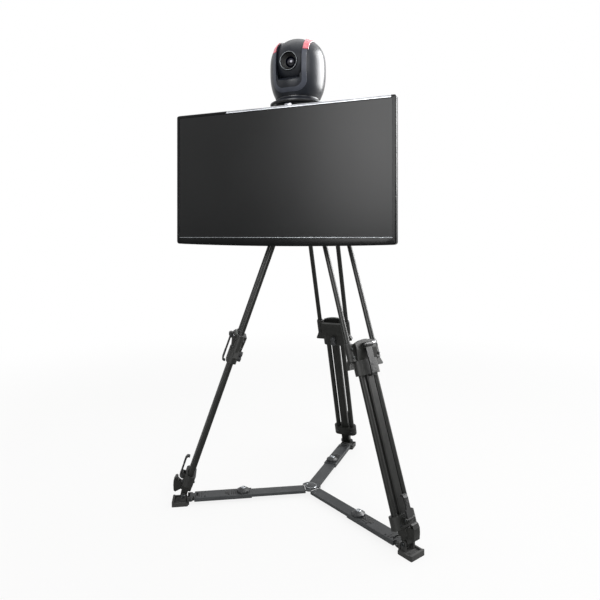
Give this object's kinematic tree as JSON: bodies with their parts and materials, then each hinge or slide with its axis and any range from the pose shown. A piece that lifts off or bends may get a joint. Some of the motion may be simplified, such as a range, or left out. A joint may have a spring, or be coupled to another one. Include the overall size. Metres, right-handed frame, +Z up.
{
  "type": "director monitor stand",
  "caption": "Twin-rod tripod with a floor spreader that carries a tilting wide display and a pan-tilt camera with signal lamps.",
  "frame": {"origin": "middle of the footprint's bounding box, on the floor", "axes": "+Z up, the screen faces -Y, +X to the right of someone looking at the screen"},
  "size_m": [0.827, 0.717, 1.5373],
  "materials": {
    "casting": "black powder-coated aluminium casting",
    "leg_tube": "black anodised tube, satin",
    "lever": "black moulded lever, satin",
    "knob": "dark grey moulded knob",
    "pin": "turned steel pin",
    "arm": "dark grey powder-coated flat arm",
    "hub": "turned disc, worn satin",
    "rubber": "black rubber sole",
    "plate": "black powder-coated steel plate",
    "bezel": "black gloss bezel",
    "screen": "dark anti-glare panel",
    "cover": "black textured rear cover",
    "board": "green circuit board",
    "camera_body": "blue-grey satin shell",
    "camera_trim": "lighter grey satin band",
    "tally": "pink-red translucent lamp cover",
    "lens": "black lens barrel"
  },
  "bodies": {
    "crown": {"crown": "casting", "crown_pins": "pin"},
    "back_upper_leg": {"back_leg_yoke": "casting", "back_leg_rods": "leg_tube", "back_mid_block": "casting"},
    "back_mid_lever": {"back_mid_lever": "lever"},
    "back_mid_knob": {"back_mid_knob": "knob"},
    "back_middle_leg": {"back_middle_tubes": "leg_tube", "back_lower_bracket": "casting"},
    "back_lower_lever": {"back_lower_lever": "lever"},
    "back_lower_leg": {"back_lower_leg": "casting"},
    "back_shoe": {"back_foot_shoe": "rubber"},
    "back_sleeve": {"back_arm_sleeve": "arm"},
    "back_arm_knob": {"back_arm_knob": "knob"},
    "back_bar": {"back_arm_bar": "arm", "spreader_hub": "hub"},
    "left_upper_leg": {"left_leg_yoke": "casting", "left_leg_rods": "leg_tube", "left_mid_block": "casting"},
    "left_mid_lever": {"left_mid_lever": "lever"},
    "left_mid_knob": {"left_mid_knob": "knob"},
    "left_middle_leg": {"left_middle_tubes": "leg_tube", "left_lower_bracket": "casting"},
    "left_lower_lever": {"left_lower_lever": "lever"},
    "left_lower_leg": {"left_lower_leg": "casting"},
    "left_shoe": {"left_foot_shoe": "rubber"},
    "left_sleeve": {"left_arm_sleeve": "arm"},
    "left_arm_knob": {"left_arm_knob": "knob"},
    "left_bar": {"left_arm_bar": "arm"},
    "right_upper_leg": {"right_leg_yoke": "casting", "right_leg_rods": "leg_tube", "right_mid_block": "casting"},
    "right_mid_lever": {"right_mid_lever": "lever"},
    "right_mid_knob": {"right_mid_knob": "knob"},
    "right_middle_leg": {"right_middle_tubes": "leg_tube", "right_lower_bracket": "casting"},
    "right_lower_lever": {"right_lower_lever": "lever"},
    "right_lower_leg": {"right_lower_leg": "casting"},
    "right_shoe": {"right_foot_shoe": "rubber"},
    "right_sleeve": {"right_arm_sleeve": "arm"},
    "right_arm_knob": {"right_arm_knob": "knob"},
    "right_bar": {"right_arm_bar": "arm"},
    "adapter": {"bowl_adapter": "casting"},
    "tie_knob": {"tie_down_knob": "knob"},
    "head": {"head_base": "plate", "head_post": "plate", "tilt_arm": "plate", "camera_shelf": "plate", "ptz_base": "camera_body"},
    "display": {"display_bracket": "plate", "vesa_screws": "pin", "front_bezel": "bezel", "display_panel": "screen", "display_board": "board", "rear_cover": "cover"},
    "camera_pan": {"ptz_shell": "camera_body", "ptz_trim": "camera_trim", "tally_lights": "tally"},
    "camera_tilt": {"tilt_drum": "camera_body", "lens": "lens"}
  },
  "joints": [
    {"name": "back_leg_fold", "type": "hinge", "parent": "crown", "child": "back_upper_leg", "pos_m": [0, -0.04208, 1.054], "axis": [-1, 0, 0], "range_deg": [0, 11]},
    {"name": "back_mid_lever_flip", "type": "hinge", "parent": "back_upper_leg", "child": "back_mid_lever", "pos_m": [0, 0.16685, 0.55519], "axis": [1, 0, 0], "range_deg": [0, 100]},
    {"name": "back_mid_knob_turn", "type": "hinge", "parent": "back_upper_leg", "child": "back_mid_knob", "pos_m": [0, 0.14452, 0.4793], "axis": [0, 0.9421, 0.3355], "continuous": true},
    {"name": "back_middle_slide", "type": "slide", "parent": "back_upper_leg", "child": "back_middle_leg", "axis": [0, -0.3355, 0.9421], "range_m": [0, 0.3]},
    {"name": "back_lower_lever_flip", "type": "hinge", "parent": "back_middle_leg", "child": "back_lower_lever", "pos_m": [0, 0.32753, 0.09651], "axis": [-1, 0, 0], "range_deg": [0, 75]},
    {"name": "back_lower_slide", "type": "slide", "parent": "back_middle_leg", "child": "back_lower_leg", "axis": [0, 0.3355, -0.9421], "range_m": [0, 0.3]},
    {"name": "back_shoe_tilt", "type": "hinge", "parent": "back_lower_leg", "child": "back_shoe", "pos_m": [0, 0.32255, 0.03], "axis": [-1, 0, 0], "range_deg": [-11, 0]},
    {"name": "back_arm_fold", "type": "hinge", "parent": "back_shoe", "child": "back_sleeve", "pos_m": [0, 0.29755, 0.017], "axis": [-1, 0, 0], "range_deg": [0, 42.7]},
    {"name": "back_arm_slide", "type": "slide", "parent": "back_sleeve", "child": "back_bar", "axis": [0, 1, 0], "range_m": [0, 0.144]},
    {"name": "back_arm_knob_turn", "type": "hinge", "parent": "back_sleeve", "child": "back_arm_knob", "pos_m": [0, 0.12655, 0.027], "axis": [0, 0, 1], "continuous": true},
    {"name": "left_leg_fold", "type": "hinge", "parent": "crown", "child": "left_upper_leg", "pos_m": [-0.05369, -0.13508, 1.054], "axis": [0.5, -0.866, 0], "range_deg": [0, 11]},
    {"name": "left_mid_lever_flip", "type": "hinge", "parent": "left_upper_leg", "child": "left_mid_lever", "pos_m": [-0.23464, -0.23955, 0.55519], "axis": [-0.5, 0.866, 0], "range_deg": [0, 100]},
    {"name": "left_mid_knob_turn", "type": "hinge", "parent": "left_upper_leg", "child": "left_mid_knob", "pos_m": [-0.21529, -0.22838, 0.4793], "axis": [-0.8158, -0.471, 0.3355], "continuous": true},
    {"name": "left_middle_slide", "type": "slide", "parent": "left_upper_leg", "child": "left_middle_leg", "axis": [0.2905, 0.1677, 0.9421], "range_m": [0, 0.3]},
    {"name": "left_lower_lever_flip", "type": "hinge", "parent": "left_middle_leg", "child": "left_lower_lever", "pos_m": [-0.37378, -0.31989, 0.09651], "axis": [0.5, -0.866, 0], "range_deg": [0, 75]},
    {"name": "left_lower_slide", "type": "slide", "parent": "left_middle_leg", "child": "left_lower_leg", "axis": [-0.2905, -0.1677, -0.9421], "range_m": [0, 0.3]},
    {"name": "left_shoe_tilt", "type": "hinge", "parent": "left_lower_leg", "child": "left_shoe", "pos_m": [-0.36947, -0.3174, 0.03], "axis": [0.5, -0.866, 0], "range_deg": [-11, 0]},
    {"name": "left_arm_fold", "type": "hinge", "parent": "left_shoe", "child": "left_sleeve", "pos_m": [-0.34782, -0.3049, 0.017], "axis": [0.5, -0.866, 0], "range_deg": [0, 42.7]},
    {"name": "left_arm_slide", "type": "slide", "parent": "left_sleeve", "child": "left_bar", "axis": [-0.866, -0.5, 0], "range_m": [0, 0.144]},
    {"name": "left_arm_knob_turn", "type": "hinge", "parent": "left_sleeve", "child": "left_arm_knob", "pos_m": [-0.19973, -0.2194, 0.027], "axis": [0, 0, 1], "continuous": true},
    {"name": "right_leg_fold", "type": "hinge", "parent": "crown", "child": "right_upper_leg", "pos_m": [0.05369, -0.13508, 1.054], "axis": [0.5, 0.866, 0], "range_deg": [0, 11]},
    {"name": "right_mid_lever_flip", "type": "hinge", "parent": "right_upper_leg", "child": "right_mid_lever", "pos_m": [0.23464, -0.23955, 0.55519], "axis": [-0.5, -0.866, 0], "range_deg": [0, 100]},
    {"name": "right_mid_knob_turn", "type": "hinge", "parent": "right_upper_leg", "child": "right_mid_knob", "pos_m": [0.21529, -0.22838, 0.4793], "axis": [0.8158, -0.471, 0.3355], "continuous": true},
    {"name": "right_middle_slide", "type": "slide", "parent": "right_upper_leg", "child": "right_middle_leg", "axis": [-0.2905, 0.1677, 0.9421], "range_m": [0, 0.3]},
    {"name": "right_lower_lever_flip", "type": "hinge", "parent": "right_middle_leg", "child": "right_lower_lever", "pos_m": [0.37378, -0.31989, 0.09651], "axis": [0.5, 0.866, 0], "range_deg": [0, 75]},
    {"name": "right_lower_slide", "type": "slide", "parent": "right_middle_leg", "child": "right_lower_leg", "axis": [0.2905, -0.1677, -0.9421], "range_m": [0, 0.3]},
    {"name": "right_shoe_tilt", "type": "hinge", "parent": "right_lower_leg", "child": "right_shoe", "pos_m": [0.36947, -0.3174, 0.03], "axis": [0.5, 0.866, 0], "range_deg": [-11, 0]},
    {"name": "right_arm_fold", "type": "hinge", "parent": "right_shoe", "child": "right_sleeve", "pos_m": [0.34782, -0.3049, 0.017], "axis": [0.5, 0.866, 0], "range_deg": [0, 42.7]},
    {"name": "right_arm_slide", "type": "slide", "parent": "right_sleeve", "child": "right_bar", "axis": [0.866, -0.5, 0], "range_m": [0, 0.144]},
    {"name": "right_arm_knob_turn", "type": "hinge", "parent": "right_sleeve", "child": "right_arm_knob", "pos_m": [0.19973, -0.2194, 0.027], "axis": [0, 0, 1], "continuous": true},
    {"name": "bowl_level", "type": "hinge", "parent": "crown", "child": "adapter", "pos_m": [0, -0.10408, 1.082], "axis": [0, 1, 0], "range_deg": [-4, 4]},
    {"name": "tie_knob_turn", "type": "hinge", "parent": "adapter", "child": "tie_knob", "pos_m": [0, -0.10408, 1.022], "axis": [0, 0, 1], "continuous": true},
    {"name": "head_pan", "type": "hinge", "parent": "adapter", "child": "head", "pos_m": [0, -0.10408, 1.1], "axis": [0, 0, 1], "range_deg": [-90, 90]},
    {"name": "display_tilt", "type": "hinge", "parent": "head", "child": "display", "pos_m": [-0.027, -0.25008, 1.15], "axis": [1, 0, 0], "range_deg": [-12, 3]},
    {"name": "camera_pan", "type": "hinge", "parent": "head", "child": "camera_pan", "pos_m": [-0.027, -0.15408, 1.3363], "axis": [0, 0, 1], "range_deg": [-170, 170]},
    {"name": "camera_tilt", "type": "hinge", "parent": "camera_pan", "child": "camera_tilt", "pos_m": [-0.027, -0.15408, 1.4513], "axis": [-1, 0, 0], "range_deg": [-12, 90]}
  ],
  "couplings": [
    {"joint": "back_shoe_tilt", "follows": "back_leg_fold", "ratio": -1},
    {"joint": "back_arm_fold", "follows": "back_leg_fold", "ratio": 3.84},
    {"joint": "back_arm_slide", "follows": "back_leg_fold", "m_per_rad": 0.74485},
    {"joint": "left_leg_fold", "follows": "back_leg_fold", "ratio": 1},
    {"joint": "left_shoe_tilt", "follows": "back_leg_fold", "ratio": -1},
    {"joint": "left_arm_fold", "follows": "back_leg_fold", "ratio": 3.84},
    {"joint": "left_arm_slide", "follows": "back_leg_fold", "m_per_rad": 0.74485},
    {"joint": "right_leg_fold", "follows": "back_leg_fold", "ratio": 1},
    {"joint": "right_shoe_tilt", "follows": "back_leg_fold", "ratio": -1},
    {"joint": "right_arm_fold", "follows": "back_leg_fold", "ratio": 3.84},
    {"joint": "right_arm_slide", "follows": "back_leg_fold", "m_per_rad": 0.74485}
  ]
}
